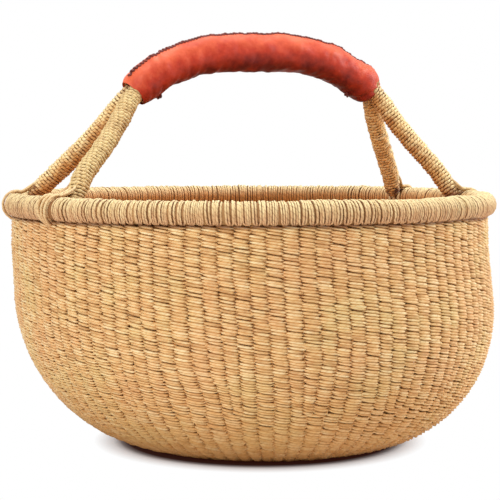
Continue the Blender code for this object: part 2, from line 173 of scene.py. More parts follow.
def addCamera():
    data = bpy.data.cameras.new("photo_camera")
    data.sensor_width = camera["sensor"]
    data.lens = camera["focalPixels"] / camera["imagePixels"] * camera["sensor"]
    item = bpy.data.objects.new("photo_camera", data)
    bpy.context.scene.collection.objects.link(item)
    turn = math.radians(camera["azimuth"])
    item.location = (
        camera["distance"] * math.sin(turn),
        -camera["distance"] * math.cos(turn),
        camera["height"],
    )
    item.rotation_euler = (math.radians(90 - camera["pitch"]), 0, turn)
    bpy.context.scene.camera = item


addCamera()
print("camera set")


# Straw strands: lines of points, bevelled to a tube and made a mesh

seed = 20


def finishPiece(item, nodes, paint):
    item.data.materials.clear()
    item.data.materials.append(paint.material)
    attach(item, "root")
    if nodes:
        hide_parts(*nodes)
    return item


def addStrands(name, lines, diameter, closed, sides=4, level=False, marks=None):
    # each line is (points, widths, tilts); U runs in metres along a strand and V once round it
    curve = bpy.data.curves.new(name, "CURVE")
    curve.dimensions = "3D"
    curve.twist_mode = "Z_UP" if level else "MINIMUM"
    curve.bevel_depth = diameter / 2
    curve.bevel_resolution = sides // 2 - 2
    curve.use_fill_caps = not closed
    starts, lengths = [0], []
    for points, widths, tilts in lines:
        spline = curve.splines.new("POLY")
        spline.points.add(len(points) - 1)
        spline.points.foreach_set("co", np.column_stack([points, np.ones(len(points))]).ravel())
        spline.points.foreach_set("radius", np.asarray(widths, np.float32))
        spline.points.foreach_set("tilt", np.asarray(tilts, np.float32))
        spline.use_cyclic_u = closed
        spline.use_smooth = True
        starts.append(starts[-1] + sides * (len(points) + (0 if closed else 2)))
        lengths.append(np.linalg.norm(np.diff(points, axis=0), axis=1).sum())
    item = bpy.data.objects.new(name, curve)
    bpy.context.scene.collection.objects.link(item)
    bpy.ops.object.select_all(action="DESELECT")
    item.select_set(True)
    bpy.context.view_layer.objects.active = item
    bpy.ops.object.convert(target="MESH")
    mesh = item.data
    corners = np.empty(len(mesh.loops), np.int32)
    mesh.loops.foreach_get("vertex_index", corners)
    strand = np.searchsorted(starts, corners, side="right") - 1
    flat = np.empty(len(mesh.loops) * 2, np.float32)
    mesh.uv_layers[0].data.foreach_get("uv", flat)
    flat = flat.reshape(-1, 2)
    flat[:, 0] = flat[:, 0] * np.array(lengths)[strand] + 1.37 * strand
    mesh.uv_layers[0].data.foreach_set("uv", flat.ravel())
    if not closed:
        bpy.ops.object.mode_set(mode="EDIT")
        bpy.ops.mesh.select_all(action="SELECT")
        bpy.ops.mesh.remove_doubles(threshold=1e-6)
        bpy.ops.object.mode_set(mode="OBJECT")
    if marks:
        shade = item.data.attributes.new("depth", "FLOAT", "POINT")
        shade.data.foreach_set("value", np.repeat(np.concatenate(marks), sides).astype(np.float32))
    bpy.ops.object.shade_smooth()
    return item


# The bowl's shape, as in the frame: a flat base, an arc to the belly, then straight to the rim

bowl = {
    "baseRadius": 0.0895,
    "bellyRadius": 0.1997,
    "bellyHeight": 0.1200,
    "topRadius": 0.19775,
    "topHeight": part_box("wall_weave_outer")[1].z,
    "leanHeight": 0.1650,  # below this the rings shift sideways, towards the base
    "baseShift": (0.0117, -0.0057),
    "thickness": 0.0080,
}


def tableOfWall():
    angles = np.linspace(0, math.pi / 2, 240)
    reach = bowl["bellyRadius"] - bowl["baseRadius"]
    flat = np.linspace(0, bowl["baseRadius"], 60)[:-1]
    straight = np.linspace(0, 1, 60)[1:]
    radius = np.concatenate(
        [
            flat,
            bowl["baseRadius"] + reach * np.sin(angles),
            bowl["bellyRadius"] + (bowl["topRadius"] - bowl["bellyRadius"]) * straight,
        ]
    )
    height = np.concatenate(
        [
            0 * flat,
            bowl["bellyHeight"] * (1 - np.cos(angles)),
            bowl["bellyHeight"] + (bowl["topHeight"] - bowl["bellyHeight"]) * straight,
        ]
    )
    run = np.concatenate([[0], np.cumsum(np.hypot(np.diff(radius), np.diff(height)))])
    slope = np.arctan2(np.gradient(height, run), np.gradient(radius, run))
    return run, radius, height, slope


wallRun, wallRadius, wallHeight, wallSlope = tableOfWall()


def bowlPoints(run, depth, angle):
    # points this far out from the base's middle along the outer face, this deep inside it
    slope = np.interp(run, wallRun, wallSlope)
    radius = np.interp(run, wallRun, wallRadius) - depth * np.sin(slope)
    height = np.interp(run, wallRun, wallHeight) + depth * np.cos(slope)
    lean = np.maximum(0, 1 - height / bowl["leanHeight"])
    return np.column_stack(
        [
            radius * np.cos(angle) + bowl["baseShift"][0] * lean,
            radius * np.sin(angle) + bowl["baseShift"][1] * lean,
            height,
        ]
    )


def runAtHeight(height):
    return float(np.interp(height, wallHeight[60:], wallRun[60:]))


# Stakes: 88 leave the base, and 16 of them are doubled on the way up, which makes 104 at the rim

stakes = {
    "atRim": 104,
    "atBase": 88,
    "addHeight": 0.050,
    "spreadRun": 0.055,  # how far it takes the stakes to even out again
    "pairShare": 0.24,
    "unevenShare": 0.13,
    "drift": math.radians(-1.6),  # the ribs lean a little round the bowl towards the base
    "diameter": 0.0030,
}
rowPitches = ((0.0, 0.0038), (0.150, 0.0038), (0.215, 0.0023))  # (run from the middle of the base, pitch)
addRun = runAtHeight(stakes["addHeight"])
topRun = wallRun[-1]


def stakePlaces():
    chance = np.random.default_rng(seed)
    slots = stakes["atBase"]
    added = stakes["atRim"] - slots
    doubled = {int((i + 0.5 + chance.uniform(-0.3, 0.3)) * slots / added) for i in range(added)}
    low = []
    for slot in range(slots):
        share = stakes["pairShare"] if slot in doubled else 0
        low += [slot - share, slot + share] if share else [slot]
    low = np.array(low) * math.tau / slots
    high = np.arange(stakes["atRim"]) * math.tau / stakes["atRim"]
    low -= np.mean(low - high)
    return low, high


lowAngles, highAngles = stakePlaces()


def unevenness(count, chance):
    spacing = math.tau / count
    return chance.uniform(-1, 1, count) * spacing * stakes["unevenShare"]


rimUneven = unevenness(stakes["atRim"], np.random.default_rng(seed + 1))
baseUneven = unevenness(stakes["atBase"], np.random.default_rng(seed + 2))


def driftAt(run):
    return stakes["drift"] * (1 - run / topRun)


def stakeAngles(run):
    # directions of the stakes or bundles that the weave passes at this distance along the wall
    if run >= addRun:
        ease = np.clip((run - addRun) / stakes["spreadRun"], 0, 1)
        ease = ease * ease * (3 - 2 * ease)
        fade = min(1.0, (topRun - run) / stakes["spreadRun"])
        return lowAngles + (highAngles - lowAngles) * ease + rimUneven * fade + driftAt(run)
    slots = np.arange(stakes["atBase"]) * math.tau / stakes["atBase"] + np.mean(lowAngles - highAngles)
    slots = slots + baseUneven + driftAt(run)
    if run > 0.062:
        return slots
    if run > 0.030:
        return (slots[0::2] + slots[1::2]) / 2
    pairs = (slots[0::2] + slots[1::2]) / 2
    return (pairs[0::2] + pairs[1::2]) / 2


# The weave: in each row two strands twine round the stakes, each outside every second one

weave = {
    "strandDiameter": 0.00266,
    "outerDepth": 0.0012,
    "innerDepth": 0.0068,
    "slantShare": 0.40,  # of the row pitch, up and down at the ends of each pass
    "stops": (-0.5, -0.39, -0.19, 0.07, 0.29, 0.42),  # places along a pass over one stake
    "outerReach": (0.30, 0.80, 0.98, 1.0, 0.96, 0.78),  # how far out of the middle of the wall there
    "innerReach": (-0.30, 0.35, 0.90, 1.0, 0.92, 0.40),
    "thickness": (0.66, 0.80, 0.98, 1.0, 0.95, 0.80),
    "waver": 0.0011,
    "rowsPerPiece": 19,
}


def pitchAt(run):
    return float(np.interp(run, *zip(*rowPitches)))


def rowRuns():
    runs = [0.0150]
    while runs[-1] + pitchAt(runs[-1]) < topRun + 0.0005:
        runs.append(runs[-1] + pitchAt(runs[-1]))
    return np.array(runs)


def waverAt(run, angle):
    # the rows aren't quite level: they wander together, as hand weaving does
    values = [
        noise.noise(Vector((4 * math.cos(a), 4 * math.sin(a), run * 22))) for a in angle
    ]
    return np.array(values)


def weftLine(run, strand, chance):
    angles = stakeAngles(run)
    coarse = pitchAt(run) / rowPitches[-1][1]
    count, stops = len(angles), len(weave["stops"])
    early = np.repeat(chance.uniform(-0.12, 0.12, count), stops)
    places = np.repeat(np.arange(count), stops) + np.tile(weave["stops"], count) + early
    wrapped = np.concatenate([[angles[-1] - math.tau], angles, [angles[0] + math.tau]])
    angle = np.interp(places, np.arange(-1, count + 1), wrapped)
    outside = (np.arange(count) + strand) % 2 == 0
    reach = np.where(outside[:, None], weave["outerReach"], -np.array(weave["innerReach"])).ravel()
    fullness = np.repeat(chance.uniform(0.85, 1.04, count), stops)
    middle = (weave["outerDepth"] + weave["innerDepth"]) / 2
    depth = middle - (weave["innerDepth"] - weave["outerDepth"]) / 2 * reach * fullness / coarse**0.45
    side = np.repeat(np.where(outside, 1.0, -1.0), stops)
    slant = -weave["slantShare"] * pitchAt(run) * side * np.tile(weave["stops"], count) * 2
    loose = np.repeat(chance.uniform(-0.17, 0.17, count) * pitchAt(run), stops)
    rowRun = run + slant + loose + weave["waver"] * np.repeat(waverAt(run, angles), stops)
    points = bowlPoints(np.clip(rowRun, 0.011, topRun + 0.001), depth, angle)
    width = np.repeat(chance.uniform(0.80, 1.09, count), stops) * np.tile(weave["thickness"], count) * coarse**0.95
    tilt = math.pi / 2 - np.interp(rowRun, wallRun, wallSlope)
    return points, width, tilt


def addWeave(paint):
    chance = np.random.default_rng(seed + 3)
    rows = rowRuns()
    names = {}
    first = 0
    while first < len(rows):
        last = min(first + weave["rowsPerPiece"], len(rows))
        below = rows[first] < addRun
        if below:
            last = min(last, int(np.searchsorted(rows, addRun)))
        lines = []
        for run in rows[first:last]:
            lines += [weftLine(run, strand, chance) for strand in (0, 1)]
        # the marks tell the paint how far each point lies out of the middle of the wall, for the painted shade where
        # strands touch
        names[f"weave_rows_{first + 1}_{last}"] = (lines, below)
        first = last
    for number, (name, (lines, below)) in enumerate(names.items()):
        marks = [np.resize(weave["outerReach"], len(points)) for points, _, _ in lines]
        item = addStrands(name, lines, weave["strandDiameter"], True, level=True, marks=marks)
        replaced = ["base_weave_outer"] if below else ["wall_weave_outer", "weave_inner"]
        finishPiece(item, replaced, paint)
        print(name, len(item.data.polygons), "faces")


def addStakes(paint):
    runs = np.linspace(0.012, topRun + 0.004, 70)
    middle = (weave["outerDepth"] + weave["innerDepth"]) / 2
    lines = []
    for number in range(stakes["atRim"]):
        angle = []
        for run in runs:
            count = len(stakeAngles(run))
            angle.append(stakeAngles(run)[number * count // stakes["atRim"]])
        points = bowlPoints(runs, middle, np.array(angle))
        lines.append((points, np.ones(len(runs)), np.zeros(len(runs))))
    item = addStrands("stakes", lines, stakes["diameter"], False)
    finishPiece(item, ["base_stakes"], paint)
    print("stakes", len(item.data.polygons), "faces")


# Straw, twisted in two plies: warm gold with paler and browner strands and soft patches


def strawPaint(name, finish):
    paint = Paint(name, finish["roughness"])
    along, around, _ = paint.parts(paint.place("UV"))
    place = paint.place("Object")
    height = paint.parts(place)[2]
    strand = paint.blotches(paint.vector(along * 9.0, 0.0, 0.0), 1.0, 2.0, 0.5)
    dash = paint.blotches(paint.vector(along * 85.0, 3.7, 0.0), 1.0, 1.0, 0.5)
    patches = paint.blotches(place, 22.0, 3.0, 0.62)
    fibre = paint.blotches(paint.vector(along * 260.0, around * 10.0, 0.0), 1.0, 2.0, 0.7)
    tone = paint.span(strand * 0.45 + dash * 0.55, 0.36, 0.64)
    base = paint.ramp(tone, [(0.0, finish["dark"]), (0.45, finish["middle"]), (1.0, finish["light"])])
    base = paint.mix(paint.span(patches, 0.50, 0.64) * 0.32, base, finish["warm"])
    base = paint.mix(paint.span(patches, 0.47, 0.34) * 0.52, base, finish["green"])
    base = paint.mix(paint.span(fibre, 0.40, 0.75, 0.0, 0.35), base, finish["light"])
    uneven = height + (patches - 0.5) * finish["ragged"]
    for low, high, share, tint in finish["shifts"]:
        base = paint.mix(paint.span(uneven, low, high) * share, base, tint)
    if "inner" in finish:
        # painted shade: the lower part of the roll on the bowl's side is darker and more orange
        low, high, share, tint = finish["inner"]
        across, deep, _ = paint.parts(place)
        near = paint.span((across * across + deep * deep) ** 0.5, low, high) * paint.span(uneven, 0.2070, 0.1985)
        base = paint.mix(near * share, base, tint)
    ply = paint.sine((along * (2 / finish["twist"]) + around) * math.tau)
    groove = paint.span(ply, -1.0, -0.5, 1.0, 0.0) * finish["plyShade"]
    depth = paint.node("ShaderNodeAttribute", {"attribute_name": "depth"}, {}, "Fac")
    broken = paint.span(dash, 0.38, 0.60, 0.45, 1.0)
    if "under" in finish:
        # painted shade and light: a leg is darker and more orange on its lower inner side and paler on the other side
        under = paint.node("ShaderNodeAttribute", {"attribute_name": "under"}, {}, "Fac")
        base = paint.mix(paint.span(under, -0.2, 0.8) * finish["under"][0], base, finish["under"][1])
        base = paint.mix(paint.span(under, 0.1, -0.9) * finish["under"][0], base, finish["light"])
    if "hollow" in finish:
        # painted shade: a strand darkens where it lies deeper, between the turns of a winding
        groove = groove + paint.span(depth, finish["hollow"][0], finish["hollow"][1], finish["crevice"], 0.0) * broken
    if "facing" in finish:
        # soil and painted shade gather where strands touch, a quarter turn from the side that shows
        side = paint.sine((around - (finish["facing"] - 0.25)) * math.tau)
        shade = paint.span(depth, 0.60, 1.0, finish["crevice"], finish["fade"]) * broken
        groove = groove + paint.span(side * side, finish["spread"], 0.0) * shade
    # painted shade: the groove colour darkens the ply grooves and the places where strands touch
    base = paint.mix(groove, base, finish["groove"])
    paint.colour(base)
    paint.bump(paint.span(ply, -1.0, 0.2) * 0.6 + fibre * 0.5, 0.4, 0.0003)
    return paint


# in these finishes groove is the colour of painted shade, and under gives the share and colour of a leg's painted
# shaded side
wovenStraw = {
    "dark": (0.56, 0.28, 0.090),
    "middle": (0.84, 0.52, 0.215),
    "light": (0.97, 0.77, 0.43),
    "warm": (0.85, 0.45, 0.21),
    "green": (0.80, 0.63, 0.27),
    "groove": (0.52, 0.195, 0.018),
    "ragged": 0.004,
    # (heights between which a tint comes in, its share, its colour)
    "shifts": (
        # painted shade: these two tints make the wall darker and more orange towards the floor
        (0.090, 0.012, 0.58, (0.70, 0.33, 0.075)),
        (0.020, 0.003, 0.50, (0.66, 0.27, 0.07)),
        # painted shadow: a dark band on the top rows, just under the rim's roll
        (0.1868, 0.1888, 0.80, (0.15, 0.038, 0.014)),
    ),
    "twist": 0.009,
    "plyShade": 0.22,
    "facing": 0.25,
    "spread": 0.80,
    "crevice": 0.95,
    "fade": 0.36,
    "roughness": 0.60,
}
rimStraw = {
    "dark": (0.48, 0.25, 0.095),
    "middle": (0.74, 0.46, 0.21),
    "light": (0.88, 0.66, 0.33),
    "warm": (0.74, 0.38, 0.18),
    "green": (0.76, 0.59, 0.27),
    "groove": (0.22, 0.07, 0.018),
    "ragged": 0.008,
    "shifts": (
        # painted highlight: the roll is paler on top, where the lamps fall
        (0.1985, 0.2065, 0.70, (0.93, 0.78, 0.41)),
        # painted shade: its lower half is darker
        (0.1995, 0.1920, 0.60, (0.64, 0.33, 0.16)),
        # painted shadow: a dark line where the roll meets the wall
        (0.1912, 0.1893, 0.80, (0.13, 0.032, 0.012)),
    ),
    # painted shade on the lower part of the roll's inner side
    "inner": (0.1935, 0.1870, 0.90, (0.62, 0.255, 0.060)),
    "twist": 0.009,
    "plyShade": 0.35,
    "facing": 0.5833,
    "spread": 0.66,
    "crevice": 0.88,
    "fade": 0.88,
    "roughness": 0.58,
}
woundStraw = {
    "dark": (0.42, 0.215, 0.070),
    "middle": (0.66, 0.41, 0.160),
    "light": (0.82, 0.62, 0.29),
    "warm": (0.70, 0.37, 0.145),
    "green": (0.76, 0.60, 0.27),
    "groove": (0.20, 0.085, 0.020),
    "ragged": 0.02,
    "shifts": ((0.30, 0.24, 0.25, (0.88, 0.66, 0.34)),),
    "twist": 0.0065,
    "plyShade": 0.45,
    "under": (0.45, (0.62, 0.33, 0.10)),
    "hollow": (0.99, 1.12),
    "crevice": 0.75,
    "roughness": 0.58,
}
# a more orange straw with stronger contrast, on three of the legs
orangeStraw = {
    "dark": (0.50, 0.19, 0.040),
    "middle": (0.86, 0.49, 0.16),
    "light": (1.0, 0.80, 0.42),
    "warm": (0.70, 0.28, 0.08),
    "green": (0.78, 0.54, 0.20),
    "groove": (0.20, 0.055, 0.012),
    "ragged": 0.03,
    # painted shade: darker and more orange towards the rim
    "shifts": ((0.225, 0.200, 0.45, (0.58, 0.22, 0.055)),),
    "twist": 0.0065,
    "plyShade": 0.60,
    "under": (0.72, (0.60, 0.235, 0.048)),
    "hollow": (0.99, 1.14),
    "crevice": 0.95,
    "roughness": 0.60,
}
# painted light: a brighter copy of the orange straw, with darker grooves, for the leg that lies in the lamps' shade
paintedLightStraw = {
    **orangeStraw,
    "dark": (0.56, 0.24, 0.055),
    "middle": (0.94, 0.59, 0.22),
    "light": (0.97, 0.88, 0.54),
    "groove": (0.10, 0.025, 0.006),
    "under": (0.60, (0.76, 0.36, 0.09)),
    "hollow": (1.0, 1.09),
    "twist": 0.011,
    "plyShade": 0.45,
    "crevice": 1.0,
}
tiedStraw = {
    "dark": (0.62, 0.38, 0.16),
    "middle": (0.80, 0.56, 0.28),
    "light": (0.93, 0.76, 0.44),
    "warm": (0.78, 0.46, 0.22),
    "green": (0.80, 0.66, 0.34),
    "groove": (0.28, 0.12, 0.035),
    "ragged": 0.004,
    # painted shade: the ties are darker below the roll's middle
    "shifts": ((0.200, 0.188, 0.55, (0.66, 0.34, 0.13)),),
    "twist": 0.008,
    "plyShade": 0.30,
    "roughness": 0.58,
}
# packed straw for the stakes and cores, kept dark so that the gaps where it shows read as shade: partly painted shade
packedShadeStraw = {
    "dark": (0.26, 0.11, 0.035),
    "middle": (0.36, 0.17, 0.055),
    "light": (0.48, 0.26, 0.09),
    "warm": (0.36, 0.15, 0.05),
    "green": (0.36, 0.20, 0.07),
    "groove": (0.16, 0.06, 0.02),
    "ragged": 0.0,
    "shifts": (),
    "twist": 0.20,
    "plyShade": 0.20,
    "roughness": 0.75,
}

weavePaint = strawPaint("woven straw", wovenStraw)
rimPaint = strawPaint("rim straw", rimStraw)
woundPaint = strawPaint("wound straw", woundStraw)
orangePaint = strawPaint("orange straw", orangeStraw)
paintedLightPaint = strawPaint("straw with painted light", paintedLightStraw)
tiedPaint = strawPaint("tied straw", tiedStraw)
packedShadePaint = strawPaint("packed straw in painted shade", packedShadeStraw)

baseCross = {"reach": 0.0185, "strands": 12, "spacing": 0.0029, "diameter": 0.0028, "wave": 0.0014}


def addBaseCross(paint):
    # the stakes cross at the middle of the base, over and under each other
    middle = (weave["outerDepth"] + weave["innerDepth"]) / 2
    last = baseCross["strands"] - 1
    lines = []
    for along in (0, 1):
        for number in range(last + 1):
            side = (number - last / 2) * baseCross["spacing"]
            run = np.linspace(-1, 1, 97) * math.sqrt(baseCross["reach"] ** 2 - side**2)
            lift = np.cos(math.pi * (run / baseCross["spacing"] + last / 2 + number + along))
            place = np.column_stack([run, np.full(len(run), side)])
            points = np.column_stack([place[:, along], place[:, 1 - along], middle + baseCross["wave"] * lift])
            points[:, :2] += bowl["baseShift"]
            lines.append((points, np.ones(len(run)), np.zeros(len(run))))
    item = addStrands("base_cross", lines, baseCross["diameter"], False)
    finishPiece(item, [], paint)


addStakes(packedShadePaint)
addBaseCross(weavePaint)
addWeave(weavePaint)


# The rim: straw wound over a thick bundle, three or four turns through each hole in the wall

rim = {
    "ringRadius": 0.19375,
    "centreHeight": 0.19805,
    "rollRadius": 0.00975,
    "holes": 188,
    "turnsPerHole": (3, 3, 3, 4),
    "strandDiameter": 0.00218,
    "firstTurn": -38.0,  # degrees round the roll, from outside, where a strand leaves it for its hole
    "outerHole": ((0.0006, -0.0078), (0.0044, -0.0077), (0.0064, -0.0066)),  # (outward, up)
    "innerHole": ((-0.0060, -0.0080), (-0.0042, -0.0092), (-0.0008, -0.0092)),
    "holeGather": (0.30, 0.42, 0.80),  # how close the strands of one hole come together
    "scallop": 0.0006,
    "lean": 0.40,  # of one turn's spacing, over the roll
    "leanSpread": 0.55,  # how far that differs from hole to hole
    "wave": 0.0009,
    "footGap": 0.040,  # the ties of a foot push the turns aside as far as this, in radians
}


def rimWave(angle):
    # the roll isn't quite level or even, as its turns were pulled by hand
    return noise.noise(Vector((3.2 * math.cos(angle), 3.2 * math.sin(angle), 8.0)))


def turned(angle):
    # the same direction, within half a turn either way
    return (angle + math.pi) % math.tau - math.pi


def onRim(angle, outward, up):
    # points beside the roll's centre line
    radius = rim["ringRadius"] + outward
    return np.column_stack([radius * np.cos(angle), radius * np.sin(angle), rim["centreHeight"] + up])


def addRimWrap(paint):
    chance = np.random.default_rng(seed + 4)
    spacing = math.tau / rim["holes"]
    turn = np.radians(np.linspace(rim["firstTurn"], 180 - rim["firstTurn"], 13))
    gather = np.concatenate([rim["holeGather"], np.ones(len(turn)), rim["holeGather"][::-1]])
    low, high = np.array(rim["outerHole"]), np.array(rim["innerHole"])
    lines = []
    for hole in range(rim["holes"]):
        count = int(chance.choice(rim["turnsPerHole"]))
        middle = (hole + chance.uniform(-0.06, 0.06)) * spacing
        slant = rim["lean"] + chance.uniform(-1, 1) * rim["leanSpread"]
        for index in range(count):
            offset = ((index + 0.5) / count - 0.5) * spacing
            if min(abs(turned(middle + offset - footAngle(foot))) for foot in handle["feet"]) < rim["footGap"]:
                continue
            bulge = rim["scallop"] * (math.cos(math.pi * offset / spacing) - 0.5)
            reach = rim["rollRadius"] - rim["strandDiameter"] / 2 + bulge + chance.uniform(-1, 1) * 0.00055
            reach += rim["wave"] * rimWave(middle)
            outward = np.concatenate([low[:, 0], reach * np.cos(turn), high[:, 0]])
            up = np.concatenate([low[:, 1], reach * np.sin(turn), high[:, 1]])
            bend = np.sin(np.linspace(0, math.pi, len(gather)) * chance.uniform(0.6, 2.0)) * chance.uniform(-0.32, 0.32)
            lean = slant * np.cos(np.linspace(0, math.pi, len(gather)))
            angle = middle + offset * gather + (lean + bend) * spacing / count
            width = chance.uniform(0.86, 1.06) * min(1, 3.4 / count) * np.clip(0.55 + 0.45 * gather, 0, 1)
            lines.append((onRim(angle, outward, up), width, np.zeros(len(gather))))
    item = addStrands("rim_wrap_turns", lines, rim["strandDiameter"], False, 6)
    finishPiece(item, ["rim_wrap"], paint)
    print("rim wrap", len(lines), "turns", len(item.data.polygons), "faces")


def addRimCore(paint):
    bpy.ops.object.select_all(action="DESELECT")
    bpy.ops.mesh.primitive_torus_add(
        major_radius=rim["ringRadius"],
        minor_radius=rim["rollRadius"] - 0.0015,
        major_segments=208,
        minor_segments=16,
        location=(0, 0, rim["centreHeight"]),
    )
    item = bpy.context.object
    item.name = "rim_core"
    bpy.ops.object.transform_apply(location=True)
    bpy.ops.object.shade_smooth()
    finishPiece(item, ["rim_bundle"], paint)


# The handle: two hoops, side by side in the grip and apart at the rim

handle = {
    "apexHeight": 0.3235,
    "gripDrop": 0.0345,
    "halfLength": 0.1126,
    "shift": (0.0074, 0.0040),
    "coreSpacing": 0.0063,
    "tilt": 0.02,
    "runShares": (0.75, 0.50, 0.25),
    "heightShares": (0.20, 0.44, 0.70),
    "gripShares": (-1, -0.8, -0.55, -0.3, 0, 0.3, 0.55, 0.8, 1),
    "feet": {"front_left": 56.0, "back_left": 46.5, "front_right": -3.5, "back_right": 5.1},
    "seats": {"front_left": 140, "back_left": 145, "front_right": 130, "back_right": 130},
    "seatReach": 0.01344,  # from the middle of the rim's roll to a foot
    # where the wound straw ends, beside the roll's middle: (outward, up)
    "ends": {
        "front_left": (-0.0170, 0.0020),
        "back_left": (-0.0125, 0.0060),
        "front_right": (-0.0118, 0.0040),
        "back_right": (-0.0112, 0.0050),
    },
    "stakesRound": 104,
}


def gripPoint(share, sideways=0.0):
    run = share * handle["halfLength"]
    height = handle["apexHeight"] - handle["gripDrop"] * abs(share) ** 3 + handle["tilt"] * run
    return np.array([handle["shift"][0] + run, handle["shift"][1] + sideways, height])


def footAngle(foot):
    return math.tau * handle["feet"][foot] / handle["stakesRound"]


def legPoints(foot, sideways):
    end = gripPoint(-1 if "left" in foot else 1, sideways)
    seat = math.radians(handle["seats"][foot])
    outward, up = handle["seatReach"] * math.cos(seat), handle["seatReach"] * math.sin(seat)
    low = onRim(np.array([footAngle(foot)]), outward, up)[0]
    points = [low]
    for run, rise in zip(handle["runShares"], handle["heightShares"]):
        point = end + (low - end) * run
        point[2] = low[2] + (end[2] - low[2]) * rise
        points.append(point)
    points[0] = onRim(np.array([footAngle(foot)]), *handle["ends"][foot])[0]
    return points


def smoothLine(points, steps):
    ends = [2 * points[0] - points[1]] + points + [2 * points[-1] - points[-2]]
    line = []
    for a, b, c, d in zip(ends, ends[1:], ends[2:], ends[3:]):
        for step in range(steps):
            t = step / steps
            cubic = (3 * b - a - 3 * c + d) * t**3
            line.append(0.5 * (2 * b + (c - a) * t + (2 * a - 5 * b + 4 * c - d) * t**2 + cubic))
    return np.array(line + [points[-1]])


def legLine(foot):
    # from the roll of the rim up to just inside the leather
    side, end = foot.split("_")
    sideways = handle["coreSpacing"] * (-1 if side == "front" else 1)
    left = legPoints(side + "_left", sideways)
    right = legPoints(side + "_right", sideways)
    line = smoothLine(left + [gripPoint(s, sideways) for s in handle["gripShares"]] + right[::-1], 16)
    if end == "right":
        line = line[::-1]
    return line[: 16 * 4 + 12]


def evenly(line, count, first=0.0):
    run = np.concatenate([[0], np.cumsum(np.linalg.norm(np.diff(line, axis=0), axis=1))])
    places = np.linspace(first, run[-1], count)
    return np.column_stack([np.interp(places, run, line[:, i]) for i in range(3)]), run[-1]


def framesAlong(points):
    tangents = np.gradient(points, axis=0)
    tangents /= np.linalg.norm(tangents, axis=1)[:, None]
    side = np.cross(tangents[0], (0, 0, 1))
    sides = []
    for tangent in tangents:
        side = side - tangent * np.dot(side, tangent)
        side = side / np.linalg.norm(side)
        sides.append(side)
    sides = np.array(sides)
    return tangents, sides, np.cross(tangents, sides)


legs = {
    "pitch": 0.0029,
    "strandDiameter": 0.00300,
    "pulse": 0.20,  # how much a twisted strand swells and thins
    "pulseLength": 0.0058,
    "windRadius": 0.00655,
    "pointsPerTurn": 26,
    "coreRadius": 0.0061,
    "bare": 0.0006,
    "taper": ((0.0, 0.72), (0.006, 0.84), (0.013, 0.95), (0.020, 1.0), (0.105, 1.0), (0.125, 0.88)),
}


def legTaper(places):
    # (metres from the rim, share of the full thickness)
    return np.interp(places, *zip(*legs["taper"]))


def markDepth(item, axis, reach, foot):
    # how far each point lies from the leg's middle, and how far to its lower inner side, for the paint, which puts
    # painted shade on that side and painted light on the other
    flat = np.empty(len(item.data.vertices) * 3, np.float32)
    item.data.vertices.foreach_get("co", flat)
    points = flat.reshape(-1, 3)
    shaded = np.array([0.60 if "left" in foot else -0.60, 0.50 if "front" in foot else -0.50, -0.62])
    least, below = np.full(len(points), 1.0), np.zeros(len(points))
    for place in axis:
        away = np.linalg.norm(points - place, axis=1)
        below = np.where(away < least, (points - place) @ shaded / reach, below)
        least = np.minimum(least, away)
    for name, values in (("depth", least / reach), ("under", below)):
        shade = item.data.attributes.new(name, "FLOAT", "POINT")
        shade.data.foreach_set("value", values.astype(np.float32))


def addLegs(paints, corePaint):
    for number, foot in enumerate(handle["feet"]):
        chance = np.random.default_rng(seed + 10 + number)
        line = legLine(foot)
        length = evenly(line, 10)[1]
        bare = legs["bare"]
        perTurn = legs["pointsPerTurn"]
        count = round((length - bare) / legs["pitch"]) * perTurn
        axis, _ = evenly(line, count, bare)
        _, side, up = framesAlong(axis)
        turn = math.tau * np.arange(count) / perTurn
        steps = np.arange(0, count, perTurn // 2)
        loose = np.interp(np.arange(count), steps, chance.uniform(-1, 1, len(steps)))
        taper = legTaper(np.linspace(bare, length, count))
        reach = legs["windRadius"] * taper + 0.0003 * loose
        outward = side * np.cos(turn)[:, None] + up * np.sin(turn)[:, None]
        points = axis + reach[:, None] * outward
        run = np.cumsum(reach) * math.tau / perTurn
        pulse = legs["pulse"] * np.sin(run / legs["pulseLength"] * math.tau + loose)
        lines = [(points, 1 + 0.09 * loose + pulse, np.zeros(count))]
        item = addStrands(f"leg_{foot}_winding", lines, legs["strandDiameter"], False, 6)
        markDepth(item, axis[:: perTurn // 4], legs["windRadius"], foot)
        finishPiece(item, ["leg_winding_" + foot], paints[foot])
        core, _ = evenly(line, 60)
        lines = [(core, legTaper(np.linspace(0, length, 60)), np.zeros(60))]
        item = addStrands(f"leg_{foot}_core", lines, 2 * legs["coreRadius"], False, 12)
        finishPiece(item, [], corePaint)
    print("legs wound")


# Each foot is tied on by strands that come out of the leg and go round the rim through one hole

ties = {
    # (places across the foot, metres out of the leg's middle where they part from it, metres sunk into the roll)
    "layers": (
        ((-0.0062, -0.0006, 0.0052), 0.0058, 0.0),
        ((-0.0046, -0.0028, 0.0016, 0.0034), 0.0034, 0.0011),
    ),
    "diameter": 0.0024,
    "start": 0.028,  # metres up the leg, under its winding
    "leave": 0.0135,  # where the strands part from the leg
    # (degrees round the roll from its outside, metres from its middle, how far spread)
    "route": (
        (116, 0.0127, 0.90),
        (92, 0.0114, 1.00),
        (64, 0.0112, 1.00),
        (38, 0.0110, 0.98),
        (12, 0.0110, 0.92),
        (-14, 0.0110, 0.78),
        (-38, 0.0111, 0.56),
        (-58, 0.0114, 0.34),
        (-74, 0.0122, 0.18),
        (-90, 0.0128, 0.14),
        (-106, 0.0122, 0.18),
        (-124, 0.0114, 0.38),
        (-146, 0.0110, 0.66),
        (-170, 0.0110, 0.88),
        (-194, 0.0111, 0.92),
        (-208, 0.0112, 0.80),
    ),
}


